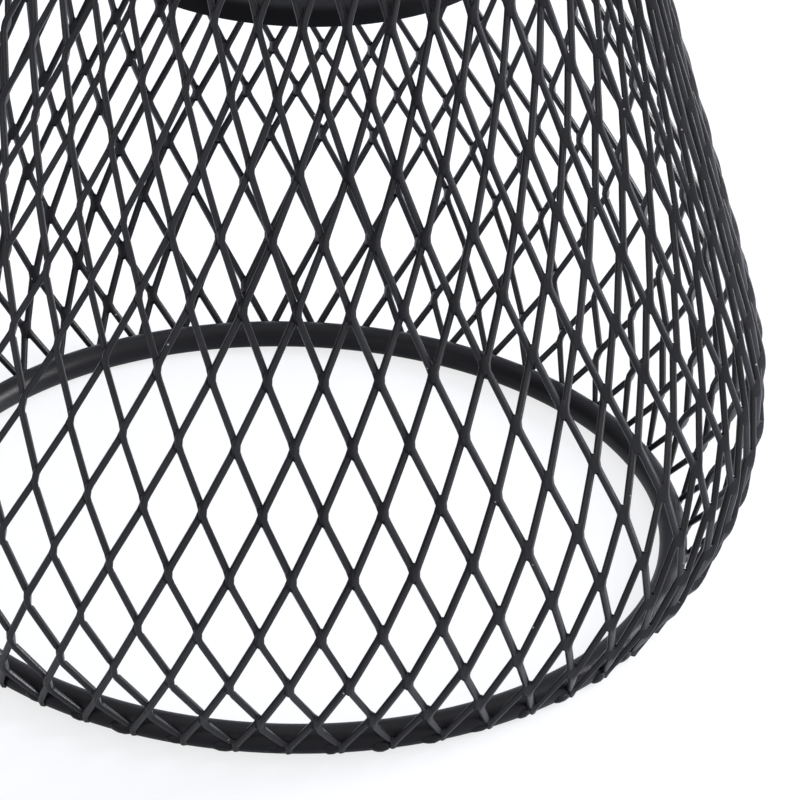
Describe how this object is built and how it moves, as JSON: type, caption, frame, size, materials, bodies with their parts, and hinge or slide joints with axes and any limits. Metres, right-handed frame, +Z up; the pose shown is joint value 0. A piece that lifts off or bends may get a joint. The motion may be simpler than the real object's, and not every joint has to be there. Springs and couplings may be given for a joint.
{
  "type": "bulb cage guard",
  "caption": "Flared cage of black expanded metal on a rod ring, with a recessed collar for the lamp holder, that guards a bulb.",
  "frame": {"origin": "centre of the foot ring, on the surface that it stands on", "axes": "+Z up along the cage's axis, -Y towards the front, +X to the right seen from the front"},
  "size_m": [0.1306, 0.1306, 0.1098],
  "materials": {
    "mesh_coat": "matt black powder coat on expanded steel",
    "rod_coat": "satin black powder coat on steel rod",
    "collar_coat": "matt black powder coat on pressed steel"
  },
  "bodies": {
    "root": {"mesh_cage": "mesh_coat", "bottom_ring": "rod_coat", "top_ring": "rod_coat", "fitter_ring": "collar_coat", "fitter_arm_1": "rod_coat", "fitter_arm_2": "rod_coat", "fitter_arm_3": "rod_coat"}
  },
  "joints": []
}
